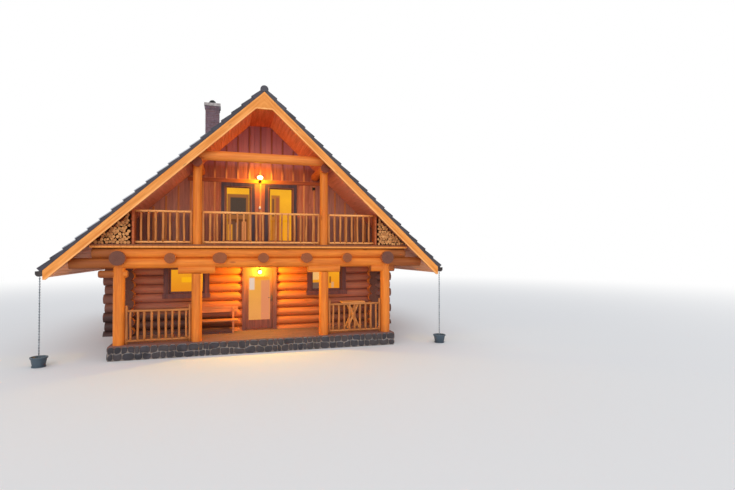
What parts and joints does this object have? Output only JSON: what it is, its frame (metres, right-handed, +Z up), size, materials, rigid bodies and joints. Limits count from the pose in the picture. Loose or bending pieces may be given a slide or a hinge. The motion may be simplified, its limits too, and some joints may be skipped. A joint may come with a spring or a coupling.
{
  "type": "log chalet",
  "caption": "Round-log alpine chalet on a stone plinth, with a porch, a balcony and a steep tiled gable roof; the entrance door opens inwards.",
  "frame": {"origin": "middle of the stone plinth's underside", "axes": "+Z up, -Y out of the gable front with the porch, +X to the right of a person who looks at that front"},
  "size_m": [11.7766, 12.353, 8.7399],
  "materials": {
    "plinth_stone": "rough",
    "porch_board": "satin",
    "floor_board": "satin",
    "log": "satin",
    "dark_casing": "satin",
    "pane": "clear",
    "handle_metal": "brushed",
    "gable_board": "satin",
    "roof_board": "satin",
    "roof_tile": "matt",
    "barge_board": "satin",
    "gutter_metal": "satin",
    "chimney_brick": "rough",
    "split_wood": "rough",
    "lamp_globe": "frosted",
    "bench_wood": "satin",
    "tub_glaze": "satin",
    "branch_rail": "satin"
  },
  "bodies": {
    "house": {"stone_plinth": "plinth_stone", "porch_floor": "porch_board", "ground_floor": "floor_board", "front_wall_left": "log", "front_wall_right": "log", "front_wall_head": "log", "left_wall": "log", "right_wall": "log", "back_wall": "log", "door_frame": "dark_casing", "window_frames": "dark_casing", "window_glass": "pane", "log_posts": "log", "post_bolsters": "log", "front_beam_lower": "log", "front_beam_upper": "log", "floor_joists": "log", "upper_floor": "floor_board", "tie_beam": "log", "roof_purlins": "log", "ridge_beam": "log", "gable_wall_front": "gable_board", "gable_wall_back": "gable_board", "balcony_doors": "dark_casing", "balcony_door_glass": "pane", "balcony_railing_left": "branch_rail", "balcony_railing_middle": "branch_rail", "balcony_railing_right": "branch_rail", "porch_railing_left": "branch_rail", "porch_railing_right": "branch_rail", "roof_deck": "roof_board", "roof_tiles": "roof_tile", "ridge_cap": "roof_tile", "barge_boards": "barge_board", "gutters": "gutter_metal", "rain_chains": "gutter_metal", "rain_tubs": "tub_glaze", "chimney": "chimney_brick", "firewood": "split_wood", "lamps": "lamp_globe", "porch_bench": "bench_wood", "porch_table": "bench_wood"},
    "door": {"entrance_door": "dark_casing", "door_glass": "pane", "door_ironwork": "handle_metal"}
  },
  "joints": [
    {"name": "entrance_hinge", "type": "hinge", "parent": "house", "child": "door", "pos_m": [-0.451, -3.9, 0.432], "axis": [0, 0, 1], "range_deg": [0, 88]}
  ]
}
